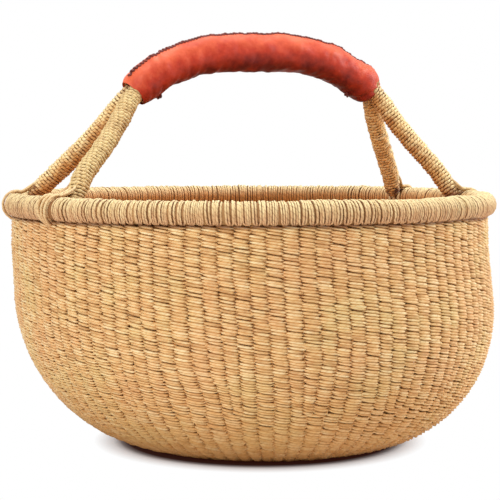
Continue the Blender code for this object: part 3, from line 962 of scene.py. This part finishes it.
def addFootTies(paint):
    for number, foot in enumerate(handle["feet"]):
        chance = np.random.default_rng(seed + 20 + number)
        angle = footAngle(foot)
        across = np.array([-math.sin(angle), math.cos(angle), 0.0])
        leg, _ = evenly(legLine(foot), 200)
        steps = np.linalg.norm(np.diff(leg, axis=0), axis=1).mean()
        inside, leave = leg[round(ties["start"] / steps)], leg[round(ties["leave"] / steps)]
        upward = np.cross(across, leave - leg[0])
        upward *= (1 if upward[2] > 0 else -1) / np.linalg.norm(upward)
        lines = []
        places = [(offset, lift, sink) for offsets, lift, sink in ties["layers"] for offset in offsets]
        for offset, lift, sink in places:
            offset += chance.uniform(-1, 1) * 0.0003
            route = [inside + across * offset * 0.4 + upward * 0.002]
            route.append(leave + across * offset * 0.85 + upward * lift)
            for turn, reach, spread in ties["route"]:
                # the lower strands dive into the roll, and the others leave gaps between them
                reach -= sink if turn > 80 else 3 * sink
                outward, up = reach * math.cos(math.radians(turn)), reach * math.sin(math.radians(turn))
                place = onRim(np.array([angle]), outward, up)[0]
                route.append(place + across * (offset * spread + chance.uniform(-1, 1) * 0.00015))
            points = smoothLine(route, 4)
            width = chance.uniform(0.86, 1.12) * (1 + 0.10 * np.sin(np.arange(len(points)) * 1.4 + offset * 900))
            lines.append((points, width, np.zeros(len(points))))
        item = addStrands(f"foot_{foot}_ties", lines, ties["diameter"], False, 6)
        finishPiece(item, ["foot_loop_" + foot], paint)
    print("feet tied")


# The grip: a leather sleeve sewn along its top, with a knot at each end below

grip = {
    "sides": 40,
    "rings": 132,
    "radius": 0.0160,
    "reachShare": 0.985,
    "swell": ((0.0, 0.98), (0.55, 0.95), (0.80, 0.94), (0.92, 0.97), (0.97, 0.90), (1.0, 0.74)),
    "bore": 0.0118,
    "creases": 0.0013,
    "puckers": 0.0013,
}


def leatherRadius(share):
    return grip["radius"] * np.interp(abs(share), *zip(*grip["swell"]))


def seamTurn(share):
    # the seam isn't straight: at the left it lies a little to the front
    return math.pi / 2 + math.radians(np.interp(share, (-1, -0.3, 0.3, 1), (20, 12, 4, 0)))


def leatherFolds(share, turn):
    # soft lumps all over, and slanting puckers that deepen towards the ends
    along, round1, round2 = share * 8, math.cos(turn), math.sin(turn)
    lumps = noise.fractal(Vector((along * 0.9, round1 * 1.1, round2 * 1.1 + 3)), 1.0, 2.0, 3)
    slanted = Vector((along * 3.4 + turn * 1.3, round1 * 0.6, round2 * 0.6 + 9))
    pucker = 0.5 - abs(noise.noise(slanted)) * 2
    return grip["creases"] * lumps + grip["puckers"] * pucker * (0.45 + 0.75 * abs(share) ** 3)


def addLeather(paint):
    bpy.ops.object.select_all(action="DESELECT")
    bpy.ops.mesh.primitive_cylinder_add(
        vertices=grip["sides"], radius=grip["radius"], depth=2, end_fill_type="NGON", rotation=(0, math.pi / 2, 0)
    )
    item = bpy.context.object
    item.name = "leather_sleeve"
    bpy.ops.object.transform_apply(rotation=True)
    bpy.ops.object.mode_set(mode="EDIT")
    bpy.ops.mesh.select_mode(type="FACE")
    bpy.ops.mesh.select_all(action="DESELECT")
    bpy.ops.object.mode_set(mode="OBJECT")
    for face in item.data.polygons:
        face.select = abs(face.normal.x) > 0.5
    bpy.ops.object.mode_set(mode="EDIT")
    bpy.ops.mesh.inset(thickness=grip["radius"] - grip["bore"])
    bpy.ops.mesh.delete(type="ONLY_FACE")
    bpy.ops.mesh.select_all(action="DESELECT")
    bpy.ops.mesh.select_mode(type="EDGE")
    bpy.ops.mesh.select_non_manifold()
    bpy.ops.mesh.bridge_edge_loops()
    bpy.ops.mesh.select_all(action="DESELECT")
    bpy.ops.object.mode_set(mode="OBJECT")
    for edge in item.data.edges:
        a, b = (item.data.vertices[v].co for v in edge.vertices)
        edge.select = abs(a.x - b.x) > 1
    bpy.ops.object.mode_set(mode="EDIT")
    bpy.ops.mesh.subdivide(number_cuts=grip["rings"])
    bpy.ops.mesh.select_all(action="SELECT")
    bpy.ops.mesh.normals_make_consistent(inside=False)
    bpy.ops.object.mode_set(mode="OBJECT")
    # under is 1 on the leather's underside, where the paint puts painted shade
    under = item.data.attributes.new("under", "FLOAT", "POINT")
    for vertex in item.data.vertices:
        x, y, z = vertex.co
        share = (math.sin(math.pi / 2 * x) * 0.35 + x * 0.65) * grip["reachShare"]
        reach = math.hypot(y, z)
        turn = math.atan2(z, y)
        under.data[vertex.index].value = -math.sin(turn)
        outer = reach > (grip["radius"] + grip["bore"]) / 2
        here = gripPoint(share)
        slope = gripPoint(share + 0.01) - gripPoint(share - 0.01)
        slope /= np.linalg.norm(slope)
        across = np.array([0.0, 1.0, 0.0])
        upward = np.cross(slope, across)
        upward *= -1 if upward[2] < 0 else 1
        if outer:
            reach = leatherRadius(share / grip["reachShare"]) + leatherFolds(share, turn)
            seam = math.exp(-(((turn - seamTurn(share)) / 0.16) ** 2))
            reach += 0.0008 * seam * (1 - abs(share) ** 8)
        vertex.co = Vector(here + (across * math.cos(turn) + upward * math.sin(turn)) * reach)
    bpy.ops.object.shade_smooth()
    fold = item.modifiers.new("fine", "SUBSURF")
    fold.levels = fold.render_levels = 1
    bpy.ops.object.modifier_apply(modifier=fold.name)
    finishPiece(item, ["leather_grip"], paint)
    print("leather", len(item.data.polygons), "faces")


lacing = {
    "turns": 84,
    "across": 0.0011,
    "up": 0.0004,
    "lift": 0.0004,
    "diameter": 0.0021,
    "start": -0.95,
    "end": 0.93,
    "knotShare": 0.86,
    "knotRadius": 0.0021,
}


def addLacing(paint):
    count = lacing["turns"] * 12
    points = []
    for index in range(count):
        share = lacing["start"] + (lacing["end"] - lacing["start"]) * index / (count - 1)
        slope = gripPoint(share + 0.01) - gripPoint(share - 0.01)
        slope /= np.linalg.norm(slope)
        across = np.array([0.0, 1.0, 0.0])
        upward = np.cross(slope, across)
        upward *= -1 if upward[2] < 0 else 1
        turn = math.tau * index / 12
        seam = seamTurn(share)
        lift = leatherRadius(share) + leatherFolds(share, seam) + lacing["lift"] + lacing["up"] * math.sin(turn)
        side = lacing["across"] * math.cos(turn)
        outward = across * math.cos(seam) + upward * math.sin(seam)
        sideward = across * math.sin(seam) - upward * math.cos(seam)
        points.append(gripPoint(share) + outward * lift + sideward * side)
    points = np.array(points)
    item = addStrands("grip_stitches", [(points, np.ones(count), np.zeros(count))], lacing["diameter"], False, 6)
    finishPiece(item, ["grip_lacing"], paint)
    for end, sign in (("left", -1), ("right", 1)):
        share = lacing["knotShare"] * sign
        slope = gripPoint(share + 0.01) - gripPoint(share - 0.01)
        slope /= np.linalg.norm(slope)
        across = np.array([0.0, 1.0, 0.0])
        down = -np.cross(slope, across)
        down *= -1 if down[2] > 0 else 1
        middle = gripPoint(share) + down * (leatherRadius(share) + 0.0008)
        t = np.linspace(0, math.tau, 61)[:-1]
        size = lacing["knotRadius"] / 3
        x = size * (np.sin(t) + 2 * np.sin(2 * t))
        y = size * (np.cos(t) - 2 * np.cos(2 * t))
        z = -size * 1.4 * np.sin(3 * t)
        knot = middle + np.outer(x, across) + np.outer(y, slope) + np.outer(z, down)
        item = addStrands(f"lacing_tie_{end}", [(knot, np.ones(60), np.zeros(60))], 0.0017, True, 6)
        finishPiece(item, ["lacing_knot_" + end], paint)
    print("lacing sewn")


def leatherPaint():
    paint = Paint("red leather", 0.50)
    paint.shader.inputs["Specular IOR Level"].default_value = 0.32
    place = paint.place("Object")
    under = paint.node("ShaderNodeAttribute", {"attribute_name": "under"}, {}, "Fac")
    mottle = paint.blotches(place, 42.0, 4.0, 0.60)
    streak = paint.blotches(place, 95.0, 3.0, 0.6)
    grain = paint.blotches(place, 1100.0, 2.0, 0.6)
    tones = [(0.26, (0.15, 0.006, 0.003)), (0.50, (0.52, 0.038, 0.012)), (0.76, (0.82, 0.145, 0.055))]
    # painted shade: the leather is darker on its underside; it is also a little darker towards its right end
    darker = under * 0.22 + paint.span(paint.parts(place)[0], 0.02, 0.12, 0.05, 0.11)
    base = paint.ramp(mottle * 0.55 + streak * 0.30 + 0.125 - darker, tones)
    paint.colour(base)
    paint.roughness(paint.span(mottle, 0.3, 0.7, 0.58, 0.42))
    paint.bump(mottle * 0.6 + grain * 0.10 + streak * 0.5, 0.6, 0.0016)
    return paint


def lacingPaint():
    paint = Paint("dark lacing", 0.55)
    along, around, _ = paint.parts(paint.place("UV"))
    tone = paint.blotches(paint.vector(along * 60.0, around * 2.0, 0.0), 1.0, 2.0)
    paint.colour(paint.ramp(tone, [(0.35, (0.10, 0.014, 0.010)), (0.68, (0.24, 0.035, 0.022))]))
    paint.bump(tone, 0.4, 0.0005)
    return paint


addRimCore(packedShadePaint)
addRimWrap(rimPaint)
windings = {"front_left": woundPaint, "back_left": orangePaint, "front_right": orangePaint, "back_right": paintedLightPaint}
addLegs(windings, packedShadePaint)
addFootTies(tiedPaint)
leather = leatherPaint()
addLeather(leather)
addLacing(lacingPaint())
for node in ("handle_core_front", "handle_core_back", "grip_binding"):
    bpy.data.objects[node].data.materials.clear()
    bpy.data.objects[node].data.materials.append(packedShadePaint.material)


# White studio: pale floor that keeps the shadow and has a painted dark shadow round the base, white beyond it, soft
# lamps


class Sky(Paint):
    def __init__(self, name):
        world = bpy.data.worlds.new(name)
        world.use_nodes = True
        bpy.context.scene.world = world
        self.tree = world.node_tree
        self.tree.nodes.remove(self.tree.nodes["Background"])


def whiteWorld():
    sky = Sky("studio")
    rays = sky.node("ShaderNodeLightPath", {}, {}, "Is Camera Ray")
    seen = rays
    for name in ("Is Glossy Ray", "Is Transmission Ray"):
        seen = seen.maths("MAXIMUM", seen, Wire(sky, rays.socket.node.outputs[name]))
    lit = sky.node("ShaderNodeBackground", {}, {"Color": (1.0, 1.0, 1.0), "Strength": studio["worldLight"]})
    white = sky.node("ShaderNodeBackground", {}, {"Color": (1.0, 1.0, 1.0), "Strength": 1.0})
    sky.plug(sky.tree.nodes["World Output"].inputs[0], sky.node("ShaderNodeMixShader", {}, {0: seen, 1: lit, 2: white}))


def addFloor():
    bpy.ops.object.select_all(action="DESELECT")
    bpy.ops.mesh.primitive_plane_add(size=40, location=(0, 0, 0))
    floor = bpy.context.object
    floor.name = "floor"
    paint = Paint("white floor", 0.9)
    x, y, _ = paint.parts(paint.place("Object"))
    x, y = x - bowl["baseShift"][0] + studio["shadowShift"], y - bowl["baseShift"][1]
    away = (x * x + y * y) ** 0.5
    # painted shadow: close round the base the floor is dark maroon, as seen and in the light it throws back
    near = paint.span(away, studio["contact"][0], studio["contact"][1])
    far = paint.span(away, studio["shadowReach"][0], studio["shadowReach"][1])
    paint.colour(paint.mix(near, studio["paintedShadowColour"], studio["floorColour"]))
    seen = paint.node("ShaderNodeLightPath", {}, {}, "Is Camera Ray")
    white = paint.node("ShaderNodeEmission", {}, {"Color": (1.0, 1.0, 1.0), "Strength": 1.0})
    tint = paint.mix(near, studio["paintedShadowColour"], studio["floorGlow"])
    glow = paint.node("ShaderNodeEmission", {}, {"Color": tint, "Strength": seen})
    lit = paint.node("ShaderNodeAddShader", {}, {0: Wire(paint, paint.shader.outputs[0]), 1: glow})
    shown = paint.node("ShaderNodeMixShader", {}, {0: far * seen, 1: lit, 2: white})
    paint.plug(paint.tree.nodes["Material Output"].inputs[0], shown)
    floor.data.materials.append(paint.material)


studio = {
    "floorColour": (0.80, 0.78, 0.76),
    "worldLight": 0.50,
    "floorGlow": (0.17, 0.15, 0.15),  # light that the camera alone sees on the floor
    # metres from the middle of the base: the tight painted shadow under it, then the floor's own shade giving way to
    # white
    "contact": (0.112, 0.124),
    "paintedShadowColour": (0.020, 0.004, 0.002),
    "shadowReach": (0.117, 0.140),
    "shadowShift": 0.005,
}
lamps = {
    "left": {"place": (-1.5, -0.9, 1.1), "size": 1.1, "power": 18.0},
    "right": {"place": (1.6, -0.5, 1.0), "size": 1.1, "power": 22.0},
    "top": {"place": (0.1, 0.2, 1.9), "size": 1.2, "power": 17.0},
}


def addLamps():
    for name, values in lamps.items():
        data = bpy.data.lights.new(name, "AREA")
        data.size = values["size"]
        data.energy = values["power"]
        item = bpy.data.objects.new(name, data)
        bpy.context.scene.collection.objects.link(item)
        item.location = values["place"]
        aim = Vector((0, 0, 0.12)) - Vector(values["place"])
        item.rotation_euler = aim.to_track_quat("-Z", "Y").to_euler()


whiteWorld()
addFloor()
addLamps()
bpy.context.scene.view_settings.view_transform = "Standard"
print("studio set")
